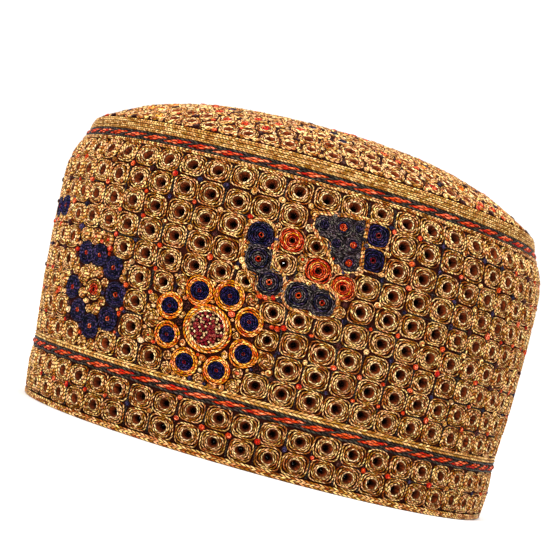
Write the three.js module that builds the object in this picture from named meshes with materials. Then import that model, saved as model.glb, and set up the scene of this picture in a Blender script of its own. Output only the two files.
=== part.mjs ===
// Embroidered prayer cap, a kumma: a tall side band of doubled cotton, closed by a low domed crown. Two
// stacks of couched cords run round it, one above the brim and one under the crown, and a binding edges
// the mouth. Millimetres, +Z up. The cap stands on its binding, centred over the origin, with its long
// sides along X.

import * as THREE from "three";

// The whole cap, on the outer face of its cloth
const capLength = 189; // across the mouth along X
const capWidth = 162; // across the mouth along Y
const bandHeight = 111.5; // from the floor to the seam of the crown
const crownRise = 19; // from that seam to the top
const crownShift = -5.9; // how far the soft cap leans along X at its top
const clothThickness = 2.4; // two layers of cotton with their embroidery
const clearance = 0.3; // between two pieces that touch

// Brim: the eyeleted strip between the binding and the lower cords, measured up the cloth from the floor
const brimHeight = 18.7;
const eyeletRows = 2;
const eyeletColumns = 56;
const eyeletDiameter = 3.9;
const eyeletSides = 6;

// Binding rolled round the mouth
const bindingHeight = 2.4;
const bindingOverhang = 0.5; // how far it stands out past each face of the cloth
const bindingFoot = 0.56; // flat underside, as a share of its full width

// Cords lying on the cloth: width up the cloth, and height off it
const goldCord = { width: 1.7, thickness: 1.1, color: 0xb98f47, roughness: 0.6, metalness: 0.15 };
const fineGoldCord = { width: 1.15, thickness: 0.9, color: 0xb98f47, roughness: 0.6, metalness: 0.15 };
const blackCord = { width: 0.8, thickness: 0.7, color: 0x2b2a30, roughness: 0.75, metalness: 0 };
const redBraid = { width: 1.5, thickness: 1, color: 0xc8391c, roughness: 0.7, metalness: 0 };
const cordCrest = 0.5; // flat top of a cord, as a share of its width
const seamMargin = 0.6; // from the uppermost cord to the seam of the crown

// Other threads
const clothGround = { color: 0xa57b3c, roughness: 0.85, metalness: 0 };
const bindingThread = { color: 0xa98548, roughness: 0.7, metalness: 0.1 };

// Cords of each stack, from the lowest up
const lowerCords = [
  { name: "lower_black_cord_bottom", cord: blackCord },
  { name: "lower_red_braid", cord: redBraid },
  { name: "lower_black_cord_top", cord: blackCord },
  { name: "lower_gold_cord", cord: goldCord },
];
const upperCords = [
  { name: "upper_gold_cord", cord: fineGoldCord },
  { name: "upper_black_cord_bottom", cord: blackCord },
  { name: "upper_red_braid", cord: redBraid },
  { name: "upper_black_cord_top", cord: blackCord },
  { name: "shoulder_gold_cord_bottom", cord: fineGoldCord },
  { name: "shoulder_gold_cord_middle", cord: fineGoldCord },
  { name: "shoulder_gold_cord_top", cord: fineGoldCord },
];

// Half the outline of the cap from the floor up. Reach is a share of half the cap's length or width. Rise
// is a share of bandHeight in the first table, and of crownRise above the seam in the second.
const bandProfile = [
  { reach: 0.989, rise: 0 },
  { reach: 1.002, rise: 0.096 },
  { reach: 1.003, rise: 0.211 },
  { reach: 1.023, rise: 0.43 },
  { reach: 1.034, rise: 0.67 },
  { reach: 1.03, rise: 0.842 },
  { reach: 0.982, rise: 0.945 },
  { reach: 0.958, rise: 1 },
];
const crownProfile = [
  { reach: 0.893, rise: 0.221 },
  { reach: 0.74, rise: 0.592 },
  { reach: 0.48, rise: 0.908 },
  { reach: 0, rise: 1 },
];

// The oval of the mouth, and the outline drawn at the mean of its two half widths
const oval = new THREE.EllipseCurve(0, 0, capLength / 2, capWidth / 2);
oval.arcLengthDivisions = 1440;
const meanReach = (capLength + capWidth) / 4;
const outlinePoint = (reach, height) => new THREE.Vector2(reach * meanReach, height);
const outline = new THREE.SplineCurve([
  ...bandProfile.map(({ reach, rise }) => outlinePoint(reach, rise * bandHeight)),
  ...crownProfile.map(({ reach, rise }) => outlinePoint(reach, bandHeight + rise * crownRise)),
]);
const stepsPerKnot = 100;
outline.arcLengthDivisions = (outline.points.length - 1) * stepsPerKnot;
const knotRuns = outline.points.map((_, knot) => outline.getLengths()[knot * stepsPerKnot]);
const seamRun = knotRuns[bandProfile.length - 1];
const topHeight = bandHeight + crownRise;

// Point by the cap's outer face: turn is the share of the way round, run the distance up the cloth from
// the floor, and off the distance out from the face, negative into the cloth.
function facePoint(turn, run, off) {
  const at = outline.getPointAt(run / outline.getLength());
  const climb = outline.getTangentAt(run / outline.getLength());
  const edge = oval.getPointAt(turn);
  const heading = oval.getTangentAt(turn);
  const lean = crownShift / topHeight;
  const reach = at.x / meanReach;
  const flare = climb.x / meanReach;
  const point = new THREE.Vector3(edge.x * reach + lean * at.y, edge.y * reach, at.y);
  const round = new THREE.Vector3(heading.x, heading.y, 0);
  const up = new THREE.Vector3(edge.x * flare + lean * climb.y, edge.y * flare, climb.y);
  return point.addScaledVector(round.cross(up).normalize(), off);
}

// Collects shared corners and triangles of one closed body.
class Body {
  positions = [];
  triangles = [];

  corner(point) {
    this.positions.push(point.x, point.y, point.z);
    return this.positions.length / 3 - 1;
  }

  triangle(a, b, c) {
    this.triangles.push(a, b, c);
  }

  quad(a, b, c, d) {
    this.triangle(a, b, c);
    this.triangle(a, c, d);
  }

  // A ring of corners round the cap, at the boundaries between the columns.
  ring(run, off) {
    const columns = Array.from({ length: eyeletColumns }, (_, column) => column);
    return columns.map((column) => this.corner(facePoint(column / eyeletColumns, run, off)));
  }

  // Joins two rings. The faces look out from the cap where the second ring lies above the first.
  join(lower, upper) {
    lower.forEach((_, column) => {
      const next = (column + 1) % lower.length;
      this.quad(lower[column], lower[next], upper[next], upper[column]);
    });
  }

  geometry() {
    const made = new THREE.BufferGeometry();
    made.setAttribute("position", new THREE.Float32BufferAttribute(this.positions, 3));
    made.setIndex(this.triangles);
    made.computeVertexNormals();
    return made;
  }
}

// Triangles of a square with a round hole, as a list of corner triples. The square's four corners start
// at its lower left and the hole's at the one towards +turn, and both run anticlockwise as seen from
// outside.
function piercedSquare(square, hole) {
  const nearest = square.map((_, index) => Math.round(((index + 2.5) * hole.length) / 4) % hole.length);
  return square.flatMap((corner, index) => {
    const next = (index + 1) % square.length;
    const made = [[corner, square[next], hole[nearest[next]]]];
    for (let side = nearest[index]; side !== nearest[next]; side = (side + 1) % hole.length) {
      made.push([corner, hole[(side + 1) % hole.length], hole[side]]);
    }
    return made;
  });
}

// Corners of one eyelet's edge, on the outer face or, with a negative distance, on the inner one.
function eyeletEdge(body, turn, run, off) {
  return Array.from({ length: eyeletSides }, (_, side) => {
    const angle = (side / eyeletSides) * 2 * Math.PI;
    const across = (Math.cos(angle) * eyeletDiameter) / 2;
    const up = (Math.sin(angle) * eyeletDiameter) / 2;
    return body.corner(facePoint(turn + across / oval.getLength(), run + up, off));
  });
}

// One column of one row of the brim, with its eyelet cut through both faces.
function addEyelet(body, column, run, faces) {
  const next = (column + 1) % eyeletColumns;
  const [outer, inner] = faces.map(({ lower, upper, off }) => ({
    square: [lower[column], lower[next], upper[next], upper[column]],
    hole: eyeletEdge(body, (column + 0.5) / eyeletColumns, run, off),
  }));
  piercedSquare(outer.square, outer.hole).forEach(([a, b, c]) => body.triangle(a, b, c));
  piercedSquare(inner.square, inner.hole).forEach(([a, b, c]) => body.triangle(a, c, b));
  outer.hole.forEach((_, side) => {
    const after = (side + 1) % eyeletSides;
    body.quad(outer.hole[side], outer.hole[after], inner.hole[after], inner.hole[side]);
  });
}

// Side band: an open ring of cloth, its lowest rows pierced by eyelets.
function makeSideBand(lowerCordsEnd, upperCordsStart) {
  const body = new Body();
  const bottom = bindingHeight + clearance;
  const rowHeight = (brimHeight - bottom) / eyeletRows;
  const rowRuns = Array.from({ length: eyeletRows + 1 }, (_, row) => bottom + row * rowHeight);
  const edges = [lowerCordsEnd, upperCordsStart, seamRun];
  const farFromEdges = (run) => edges.every((edge) => Math.abs(edge - run) > clothThickness);
  const bends = knotRuns.filter((run) => run > lowerCordsEnd && run < seamRun && farFromEdges(run));
  const plainRuns = [...edges, ...bends].sort((a, b) => a - b);
  const runs = [...rowRuns, ...plainRuns];
  const outer = runs.map((run) => body.ring(run, 0));
  const inner = runs.map((run) => body.ring(run, -clothThickness));
  for (let row = 0; row < runs.length - 1; row++) {
    if (row < eyeletRows) {
      const faces = [
        { lower: outer[row], upper: outer[row + 1], off: 0 },
        { lower: inner[row], upper: inner[row + 1], off: -clothThickness },
      ];
      const middle = (runs[row] + runs[row + 1]) / 2;
      outer[row].forEach((_, column) => addEyelet(body, column, middle, faces));
    } else {
      body.join(outer[row], outer[row + 1]);
      body.join(inner[row + 1], inner[row]);
    }
  }
  body.join(inner[0], outer[0]);
  body.join(outer.at(-1), inner.at(-1));
  return body.geometry();
}

// Crown: a domed oval of the same cloth, its edge butted against the top of the side band.
function makeCrown() {
  const body = new Body();
  const bendRuns = knotRuns.filter((run, knot) => run > seamRun && knot < knotRuns.length - 1);
  const runs = [seamRun + clearance, ...bendRuns];
  const outer = runs.map((run) => body.ring(run, 0));
  const inner = runs.map((run) => body.ring(run, -clothThickness));
  for (let row = 0; row < runs.length - 1; row++) {
    body.join(outer[row], outer[row + 1]);
    body.join(inner[row + 1], inner[row]);
  }
  body.join(inner[0], outer[0]);
  const outerTop = body.corner(new THREE.Vector3(crownShift, 0, topHeight));
  const innerTop = body.corner(new THREE.Vector3(crownShift, 0, topHeight - clothThickness));
  for (let column = 0; column < eyeletColumns; column++) {
    const next = (column + 1) % eyeletColumns;
    body.triangle(outer.at(-1)[column], outer.at(-1)[next], outerTop);
    body.triangle(inner.at(-1)[next], inner.at(-1)[column], innerTop);
  }
  return body.geometry();
}

// Closes a row of rings into a hoop round the cap. The rings go out along the hoop's underside and back
// over its top.
function closeHoop(body, rings) {
  rings.forEach((ring, index) => body.join(ring, rings[(index + 1) % rings.length]));
  return body.geometry();
}

// Cord round the cap, its flat back a clearance off the cloth.
function makeCord(run, { width, thickness }) {
  const body = new Body();
  const slope = ((1 - cordCrest) / 2) * width;
  const crest = clearance + thickness;
  const section = [
    { run, off: clearance },
    { run: run + slope, off: crest },
    { run: run + width - slope, off: crest },
    { run: run + width, off: clearance },
  ];
  return closeHoop(
    body,
    section.map((corner) => body.ring(corner.run, corner.off)),
  );
}

// Binding round the mouth: a roll with a flat underside, on which the cap stands.
function makeBinding() {
  const body = new Body();
  const width = clothThickness + 2 * bindingOverhang;
  const shoulder = ((1 - bindingFoot) / 2) * width;
  const outside = bindingOverhang;
  const inside = bindingOverhang - width;
  const section = [
    { height: 0, off: inside + shoulder },
    { height: 0, off: outside - shoulder },
    { height: bindingHeight / 2, off: outside },
    { height: bindingHeight, off: outside - shoulder },
    { height: bindingHeight, off: inside + shoulder },
    { height: bindingHeight / 2, off: inside },
  ];
  const columns = Array.from({ length: eyeletColumns }, (_, column) => column);
  const rings = section.map(({ height, off }) =>
    columns.map((column) => body.corner(facePoint(column / eyeletColumns, height, off).setZ(height))),
  );
  return closeHoop(body, rings);
}

const cap = new THREE.Group();

function add(name, geometry, { color, roughness, metalness }) {
  const mesh = new THREE.Mesh(geometry, new THREE.MeshStandardMaterial({ color, roughness, metalness }));
  mesh.name = name;
  cap.add(mesh);
}

// Width of a stack of cords, each a clearance above the one below.
function stackWidth(cords) {
  return cords.reduce((sum, { cord }) => sum + cord.width, (cords.length - 1) * clearance);
}

function addCords(start, cords) {
  let run = start;
  for (const { name, cord } of cords) {
    add(name, makeCord(run, cord), cord);
    run += cord.width + clearance;
  }
}

const lowerCordsStart = brimHeight + clearance;
const upperCordsStart = seamRun - seamMargin - stackWidth(upperCords);
add("rim_binding", makeBinding(), bindingThread);
add("side_band", makeSideBand(lowerCordsStart + stackWidth(lowerCords), upperCordsStart), clothGround);
add("crown", makeCrown(), clothGround);
addCords(lowerCordsStart, lowerCords);
addCords(upperCordsStart, upperCords);

const centre = new THREE.Box3().setFromObject(cap).getCenter(new THREE.Vector3());
cap.position.set(-centre.x, -centre.y, 0);

export default cap;
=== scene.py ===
"""Embroidered kumma cap: couched silk cords, whipped eyelets and knots over doubled cotton."""

import math

import bpy
import numpy as np
from mathutils import Euler, Matrix, Vector
from mathutils.geometry import delaunay_2d_cdt


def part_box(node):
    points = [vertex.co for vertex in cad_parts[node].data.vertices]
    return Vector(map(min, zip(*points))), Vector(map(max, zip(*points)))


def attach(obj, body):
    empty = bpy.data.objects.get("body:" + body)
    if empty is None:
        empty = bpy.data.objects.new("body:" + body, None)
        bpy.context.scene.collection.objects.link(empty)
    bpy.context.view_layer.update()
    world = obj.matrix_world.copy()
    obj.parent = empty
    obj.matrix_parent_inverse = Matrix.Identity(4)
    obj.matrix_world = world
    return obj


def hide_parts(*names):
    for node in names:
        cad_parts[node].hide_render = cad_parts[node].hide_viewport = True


bl_info = {
    "name": "Embroidered kumma cap",
    "version": (1, 0, 0),
    "blender": (4, 5, 0),
    "location": "3D View > Sidebar > Cap",
    "description": "Dresses a plain cap in whipped eyelets, couched silk cords and knots",
    "category": "Object",
}

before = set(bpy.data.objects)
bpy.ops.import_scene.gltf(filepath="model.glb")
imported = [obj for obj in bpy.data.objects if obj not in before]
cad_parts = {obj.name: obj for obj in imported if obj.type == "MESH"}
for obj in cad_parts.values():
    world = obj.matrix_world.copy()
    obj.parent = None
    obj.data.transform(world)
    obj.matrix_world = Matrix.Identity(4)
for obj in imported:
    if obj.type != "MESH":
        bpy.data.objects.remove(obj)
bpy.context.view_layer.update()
MM = 0.001

# Half the outline of the cap, from the floor to the seam of the crown and on to the top: reach as a share of
# half the cap's length or width, and rise as a share of the band's height, then of the crown's rise.
BAND_PROFILE = (
    (0.989, 0), (1.002, 0.096), (1.003, 0.211), (1.023, 0.43),
    (1.034, 0.67), (1.03, 0.842), (0.982, 0.945), (0.958, 1),
)
CROWN_PROFILE = ((0.893, 0.221), (0.74, 0.592), (0.48, 0.908), (0, 1))
REACH_AT_BINDING = 0.9905  # of the outline, halfway up the binding
CURVE_STEPS = 100  # points of the outline's curve in each stretch of its profile
OVAL_STEPS = 1440  # points of the oval mouth's outline


def number(text, default, note, low=0.0, high=1000.0):
    """A size in millimetres, or a plain number, that a user can change."""
    return bpy.props.FloatProperty(name=text, default=default, description=note, min=low, max=high)


def hue(text, colour, note):
    """A colour that a user can change, given as an sRGB hex value."""
    return bpy.props.FloatVectorProperty(
        name=text, default=linear(colour), description=note, size=4, subtype="COLOR", min=0, max=1
    )


def linear(colour):
    """An sRGB hex value such as 0xC8A060 as linear RGBA."""
    parts = [((colour >> shift) & 255) / 255 for shift in (16, 8, 0)]
    return (*[p / 12.92 if p <= 0.04045 else ((p + 0.055) / 1.055) ** 2.4 for p in parts], 1.0)


class CapSizes(bpy.types.PropertyGroup):
    """Sizes of the embroidery, in millimetres."""

    columns: bpy.props.IntProperty(name="Columns", default=56, description="Eyelets in each row round the band")
    band_rows: bpy.props.IntProperty(name="Band rows", default=9, description="Rows between the two stacks")
    brim_rows: bpy.props.IntProperty(name="Brim rows", default=2, description="Rows below the lower cords")
    binding_height: number("Binding height", 2.4, "Height of the rolled binding round the mouth, mm")
    binding_overhang: number("Binding overhang", 0.5, "How far the binding stands out past the cloth, mm")
    cloth: number("Cloth thickness", 2.4, "Doubled cotton with its embroidery, mm")
    ring_cord: number("Ring cord", 0.64, "Width of the cord couched round an eyelet, mm")
    twist: number("Twist", 1.35, "Length of one strand's slant along a ring cord, mm")
    eyelet: number("Eyelet radius", 2.15, "Radius of an eyelet at the face, mm")
    throat: number("Throat radius", 0.55, "Radius of an eyelet at the inside of the cloth, mm")
    crown_pitch: number("Crown pitch", 8.15, "From one eyelet of the crown to the next, mm")
    red_knots: number("Red knots", 0.42, "Share of the crossings with a red knot", 0, 1)
    dark_knots: number("Dark knots", 0.12, "Share of the crossings with a dark knot", 0, 1)


class CapColours(bpy.types.PropertyGroup):
    """Colours of the threads."""

    gold: hue("Gold silk", 0xD39047, "Couched rings and cords")
    ivory: hue("Ivory silk", 0xE4B57A, "Innermost ring of each eyelet")
    strip: hue("Yellow gold silk", 0xDCA558, "Cords of the shoulder and the lower stack")
    navy: hue("Navy silk", 0x241D3C, "Dark motifs")
    dark: hue("Slate silk", 0x4A3A3C, "Crescent and wedge")
    blue: hue("Blue silk", 0x191149, "Centres of the petals")
    orange: hue("Orange silk", 0xFF960C, "Petals of the great flower")
    red: hue("Vermilion silk", 0xE65A20, "Red rosettes, knots and braid")
    black: hue("Black silk", 0x3A2E26, "Cords beside the red braid")
    maroon: hue("Crimson silk", 0x8E1412, "Heart of the great flower")
    seam: hue("Brown silk", 0x441810, "Seam of the crown")
    eyelet: hue("Eyelet silk", 0x702C0C, "Whipped funnel of each eyelet")
    # Eyelet depth is painted shade: the near-black colour at the inner end of each funnel stands for the shade in
    # the hole.
    depth: hue("Eyelet depth", 0x140807, "Inner end of each funnel")
    # Ground: the cotton's own dark maroon, set darker still so that it also stands in for the shade in the gaps
    # between the cords; partly painted shade.
    ground: hue("Ground", 0x260A05, "Maroon cotton between the cords")
    lining: hue("Inside", 0x8C6636, "Back of the embroidery, seen inside the cap")


# The cap's face as a sheet that can be laid flat


def spline(points, steps=CURVE_STEPS):
    """Points along a smooth curve through the given ones, evenly in each stretch."""
    points = np.array(points, float)
    padded = np.vstack([points[:1], points, points[-1:]])
    weight = np.linspace(0, 1, steps, endpoint=False)[:, None]
    made = []
    for before, start, end, after in zip(padded, padded[1:], padded[2:], padded[3:]):
        first, last = (end - before) / 2, (after - start) / 2
        made.append(
            (2 * start - 2 * end + first + last) * weight**3
            + (-3 * start + 3 * end - 2 * first - last) * weight**2
            + first * weight
            + start
        )
    return np.vstack([*made, points[-1:]])


class Face:
    """The outer face of the cap. A point is given by turn, the share of the way round, run, the distance up the
    cloth from the floor, and off, the distance out from it, all lengths in millimetres."""

    def __init__(self, sizes):
        low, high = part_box("rim_binding")
        self.middle = (low + high) / 2 / MM
        self.half = np.array((high - low)[:2]) / 2 / MM - sizes.binding_overhang
        self.half /= REACH_AT_BINDING
        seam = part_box("side_band")[1].z / MM
        self.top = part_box("crown")[1].z / MM
        crown_low, crown_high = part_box("crown")
        self.lean = ((crown_low + crown_high).x / 2 / MM - self.middle.x) / seam
        mean = self.half.mean()
        rows = [(reach * mean, rise * seam) for reach, rise in BAND_PROFILE]
        rows += [(reach * mean, seam + rise * (self.top - seam)) for reach, rise in CROWN_PROFILE]
        curve = spline(rows)
        gaps = np.hypot(*np.diff(curve, axis=0).T)
        self.runs = np.concatenate([[0], np.cumsum(gaps)])
        self.curve = curve / (mean, 1)
        self.slope = np.gradient(self.curve, self.runs, axis=0)
        self.seam_run = self.runs[(len(BAND_PROFILE) - 1) * CURVE_STEPS]
        self.top_run = self.runs[-1]
        angles = np.linspace(0, 2 * math.pi, OVAL_STEPS + 1)
        oval = np.column_stack([self.half[0] * np.cos(angles), self.half[1] * np.sin(angles)])
        length = np.concatenate([[0], np.cumsum(np.hypot(*np.diff(oval, axis=0).T))])
        self.girth = length[-1]
        self.turns, self.angles = length / self.girth, angles

    def run_at(self, height):
        """Run at which the band has a height."""
        return float(np.interp(height, self.curve[:, 1], self.runs))

    def place(self, turn, run, off):
        """Points in metres, as an array with a row each."""
        turn, run, off = np.broadcast_arrays(turn, run, off)
        angle = np.interp(np.mod(turn, 1), self.turns, self.angles)
        return self.place_at(angle, run, off)

    def place_at(self, angle, run, off):
        """Points in metres for an angle of the oval rather than a turn."""
        reach, height = (np.interp(run, self.runs, column) for column in self.curve.T)
        flare, climb = (np.interp(run, self.runs, column) for column in self.slope.T)
        a, b = self.half
        cos, sin = np.cos(angle), np.sin(angle)
        along, across = a * cos * reach + self.lean * height, b * sin * reach
        point = np.stack([along + self.middle.x, across + self.middle.y, height], -1)
        round_about = np.stack([-a * sin, b * cos, np.zeros_like(cos)], -1)
        up = np.stack([a * cos * flare + self.lean * climb, b * sin * flare, climb], -1)
        normal = np.cross(round_about, up)
        normal /= np.maximum(np.linalg.norm(normal, axis=-1, keepdims=True), 1e-9)
        return (point + normal * off[..., None]) * MM


class BandSheet:
    """The side band laid flat: along is the distance round at the mouth, up the run from the floor."""

    def __init__(self, face):
        self.face = face

    def place(self, flat, off):
        return self.face.place(flat[..., 0] / self.face.girth, flat[..., 1], off)


class CrownSheet:
    """The crown laid flat round its top, which is the origin."""

    def __init__(self, face):
        self.face = face
        self.spread = face.half / face.half.mean()

    def place(self, flat, off):
        x, y = flat[..., 0] / self.spread[0], flat[..., 1] / self.spread[1]
        run = self.face.top_run - np.hypot(x, y)
        angle, run, off = np.broadcast_arrays(np.arctan2(y, x), run, off)
        return self.face.place_at(angle, run, off)


# Pieces made of cord and cloth


class Skein:
    """Collects the corners, faces, thread maps and tones of one piece."""

    def __init__(self):
        self.points, self.quads, self.maps, self.tones, self.kinds = [], [], [], [], []
        self.count = 0

    def add(self, points, faces, maps, tone, kind=0):
        """faces index the points, maps has a pair for each corner of each face, tone is one number or one a
        face, and kind picks the material."""
        faces = np.asarray(faces, np.int64)
        self.points.append(points.reshape(-1, 3))
        self.quads.append(faces + self.count)
        self.maps.append(np.asarray(maps, float).reshape(-1, 2))
        self.tones.append(np.broadcast_to(tone, len(faces)).astype(float))
        self.kinds.append(np.full(len(faces), kind))
        self.count += len(self.points[-1])

    def piece(self, name, materials, slot, replaced=()):
        """Makes the mesh, and lets it ride on the cap."""
        mesh = bpy.data.meshes.new(name)
        points = np.vstack(self.points)
        sizes = np.concatenate([np.full(len(q), q.shape[1]) for q in self.quads])
        corners = np.concatenate([q.ravel() for q in self.quads])
        mesh.vertices.add(len(points))
        mesh.vertices.foreach_set("co", points.astype(np.float32).ravel())
        mesh.loops.add(len(corners))
        mesh.loops.foreach_set("vertex_index", corners.astype(np.int32))
        mesh.polygons.add(len(sizes))
        mesh.polygons.foreach_set("loop_start", np.concatenate([[0], np.cumsum(sizes)[:-1]]).astype(np.int32))
        mesh.polygons.foreach_set("use_smooth", np.ones(len(sizes), bool))
        mesh.polygons.foreach_set("material_index", np.concatenate(self.kinds).astype(np.int32))
        layer = mesh.uv_layers.new(name="Thread")
        layer.uv.foreach_set("vector", np.vstack(self.maps).astype(np.float32).ravel())
        tone = mesh.attributes.new("tone", "FLOAT", "FACE")
        tone.data.foreach_set("value", np.concatenate(self.tones).astype(np.float32))
        for material in materials:
            mesh.materials.append(material)
        mesh.update()
        mesh.validate()
        made = bpy.data.objects.new(name, mesh)
        bpy.context.scene.collection.objects.link(made)
        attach(made, "root")
        if replaced:
            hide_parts(*replaced)


# Section of a cord lying on the cloth, anticlockwise from its side: across as a share of half its width, and
# height as a share of its thickness.
THREE_SIDES = ((1, 0.0), (0, 1), (-1, 0.0))
FOUR_SIDES = ((1, 0.35), (0, 1), (-1, 0.35), (0, -0.3))
SIX_SIDES = ((1, 0.35), (0.55, 0.88), (-0.55, 0.88), (-1, 0.35), (-0.55, -0.2), (0.55, -0.2))


def lay_cord(
    skein, sheet, path, width, height, twist, tone, closed=False, base=0.0, section=FOUR_SIDES, slant=1, kind=0
):
    """Lays a cord on the sheet along a path of flat points. Its thread map counts strands along it and shares of
    the way round it. A strand is one twist long and moves on by slant strands in one turn round the cord."""
    path = np.asarray(path, float)
    width = np.broadcast_to(width, len(path))
    if closed:
        ahead = np.roll(path, -1, axis=0) - np.roll(path, 1, axis=0)
        steps = np.hypot(*(np.roll(path, -1, axis=0) - path).T)
    else:
        ahead = np.gradient(path, axis=0)
        steps = np.hypot(*np.diff(path, axis=0).T)
    side = np.column_stack([ahead[:, 1], -ahead[:, 0]])
    side /= np.maximum(np.linalg.norm(side, axis=1, keepdims=True), 1e-9)
    section = np.array(section)
    flat = path[:, None, :] + side[:, None, :] * (section[None, :, :1] * width[:, None, None] / 2)
    off = np.broadcast_to(base + section[:, 1] * height, flat.shape[:2])
    points = sheet.place(flat, off)
    count, sides = flat.shape[:2]
    rows = count if closed else count - 1
    along = np.concatenate([[0], np.cumsum(steps)])[: rows + 1]
    strands = max(2, round(along[-1] / twist))
    along = along / along[-1] * strands
    i, k = (part.ravel() for part in np.meshgrid(np.arange(rows), np.arange(sides), indexing="ij"))
    i_next, k_next = (i + 1) % count, (k + 1) % sides
    quads = np.column_stack([i * sides + k, i_next * sides + k, i_next * sides + k_next, i * sides + k_next])
    low, high = k / sides, (k + 1) / sides
    near, far = along[i], along[i + 1]
    near_high, far_high = near + high * slant, far + high * slant
    maps = np.stack([near + low * slant, low, far + low * slant, low, far_high, high, near_high, high], 1)
    maps = maps.reshape(-1, 4, 2)
    skein.add(points, quads, maps, tone, kind)
    if not closed:
        for end in (0, count - 1):
            ring = end * sides + np.arange(sides)
            ring = ring[::-1] if end == 0 else ring
            skein.add(points.reshape(-1, 3)[ring], [np.arange(sides)], np.zeros((sides, 2)), tone, kind)


def circle(centre, radii, steps, square=0.0, wobble=None):
    """A ring of flat points, round or, with square towards 1, pressed towards the corners of its cell."""
    angles = np.linspace(0, 2 * math.pi, steps, endpoint=False)
    cos, sin = np.cos(angles), np.sin(angles)
    power = 2 + 2.2 * square  # 2 is an ellipse, and over 4 nearly fills the cell
    reach = (np.abs(cos) ** power + np.abs(sin) ** power) ** (-1 / power)
    if wobble is not None:
        wave = 1 + wobble[0] * np.cos(angles * 2 + wobble[1])
        reach = reach * (wave + wobble[2] * np.cos(angles * 3 + wobble[3]))
    return np.column_stack([centre[0] + radii[0] * reach * cos, centre[1] + radii[1] * reach * sin])


# What is worked round one eyelet: thread, radius as a share of half the cell's height, cord width as a share of
# the ring cord, how square it is and how many points go round it.
GOLD_ROSETTE = (
    ("ivory", 0.6, 1.0, 0.0, 16),
    ("gold", 0.73, 1.0, 0.05, 18),
    ("gold", 0.86, 1.0, 0.35, 22),
    ("gold", 0.99, 0.95, 0.95, 26),
)
NAVY_ROSETTE = (
    ("red", 0.23, 0.9, 0.0, 9),
    ("navy", 0.39, 1.15, 0.0, 12),
    ("navy", 0.56, 1.15, 0.0, 16),
    ("blue", 0.73, 1.15, 0.1, 18),
    ("navy", 0.86, 1.1, 0.1, 20),
    ("navy", 0.98, 1.05, 0.2, 22),
)
NAVY_SOLID_ROSETTE = (
    ("maroon", 0.27, 0.9, 0.0, 9),
    ("navy", 0.43, 1.1, 0.0, 12),
    ("blue", 0.6, 1.1, 0.0, 16),
    ("navy", 0.77, 1.1, 0.2, 18),
    ("blue", 0.94, 1.1, 0.5, 20),
    ("gold", 1.1, 0.95, 0.8, 22),
)
DARK_ROSETTE = (
    ("red", 0.27, 1.0, 0.0, 9),
    ("dark", 0.43, 1.15, 0.0, 12),
    ("dark", 0.6, 1.15, 0.0, 16),
    ("navy", 0.77, 1.15, 0.1, 18),
    ("dark", 0.94, 1.15, 0.35, 20),
    ("dark", 1.1, 1.15, 0.6, 22),
)
RED_ROSETTE = (
    ("red", 0.4, 1.0, 0.0, 12),
    ("red", 0.56, 1.0, 0.0, 14),
    ("orange", 0.7, 0.9, 0.0, 16),
    ("red", 0.84, 0.95, 0.0, 18),
    ("red", 0.98, 0.95, 0.1, 20),
    ("gold", 1.11, 0.9, 0.4, 22),
)
PETAL_ROSETTE = (
    ("maroon", 0.16, 0.8, 0.0, 8),
    ("blue", 0.28, 1.05, 0.0, 12),
    ("blue", 0.41, 1.05, 0.0, 14),
    ("blue", 0.54, 1.05, 0.0, 16),
    ("blue", 0.66, 1.05, 0.0, 18),
    ("orange", 0.8, 1.1, 0.0, 20),
    ("orange", 0.93, 1.1, 0.0, 22),
    ("orange", 1.06, 1.1, 0.0, 24),
)
SMALL_RED_ROSETTE = (
    ("red", 0.26, 1.1, 0.0, 9),
    ("red", 0.44, 1.1, 0.0, 10),
    ("navy", 0.64, 1.1, 0.0, 13),
    ("dark", 0.82, 1.1, 0.0, 15),
    ("dark", 1.0, 1.1, 0.0, 17),
)
SMALL_NAVY_ROSETTE = (
    ("navy", 0.28, 1.1, 0.0, 9),
    ("navy", 0.5, 1.1, 0.0, 12),
    ("dark", 0.72, 1.1, 0.0, 14),
    ("dark", 0.94, 1.1, 0.0, 16),
)
LITTLE_ROSETTE = (
    ("red", 0.34, 0.8, 0, 12),
    ("red", 0.55, 0.8, 0, 16),
    ("gold", 0.78, 0.9, 0, 18),
    ("gold", 1, 0.9, 0, 22),
)
CROWN_ROSETTE = (
    ("ivory", 0.62, 0.95, 0.0, 14),
    ("gold", 0.74, 0.95, 0.0, 16),
    ("gold", 0.86, 0.95, 0.0, 16),
    ("gold", 0.98, 0.95, 0.2, 18),
)

# One repeat of the figures: the rosette, its radius, and its place along and up the band from the middle of the
# front, in millimetres. The repeat comes round twice.
REPEATS = 2
FIGURES = (
    ("navy", 4.3, -82.6, 58.7), ("navy", 4.1, -74.8, 59.0), ("navy", 4.4, -66.8, 55.8),
    ("navy", 4.6, -63.4, 46.7), ("navy", 4.5, -65.0, 37.6), ("navy", 4.4, -73.4, 33.2),
    ("navy", 4.4, -81.6, 37.6), ("navy", 4.4, -87.2, 45.2), ("petal", 4.9, -30.7, 56.0),
    ("petal", 5.0, -20.0, 57.0), ("petal", 4.9, -11.6, 50.0), ("petal", 4.9, -11.2, 38.8),
    ("petal", 4.8, -19.2, 30.8), ("petal", 4.8, -31.0, 30.6), ("petal", 4.8, -39.4, 38.2),
    ("petal", 4.8, -40.4, 48.2), ("navy", 4.4, -14.2, 80.2), ("dark", 4.3, -13.2, 72.0),
    ("dark", 4.2, -8.0, 65.2), ("dark", 4.3, 2.6, 63.4), ("dark", 4.2, 11.0, 63.2), ("red", 4.2, -3.6, 81.2),
    ("red", 4.4, 7.2, 73.4), ("red", 4.2, 16.6, 70.0), ("small_navy", 3.1, 5.8, 89.6),
    ("small_red", 3.2, 12.2, 90.4), ("small_navy", 3.1, 11.0, 84.4), ("small_red", 2.9, 16.8, 85.4),
    ("small_red", 3.0, 16.6, 79.0), ("small_navy", 2.6, 17.6, 91.6), ("navy_square", 4.2, 24.6, 91.0),
    ("navy_square", 4.2, 24.6, 82.2),
)
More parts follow.
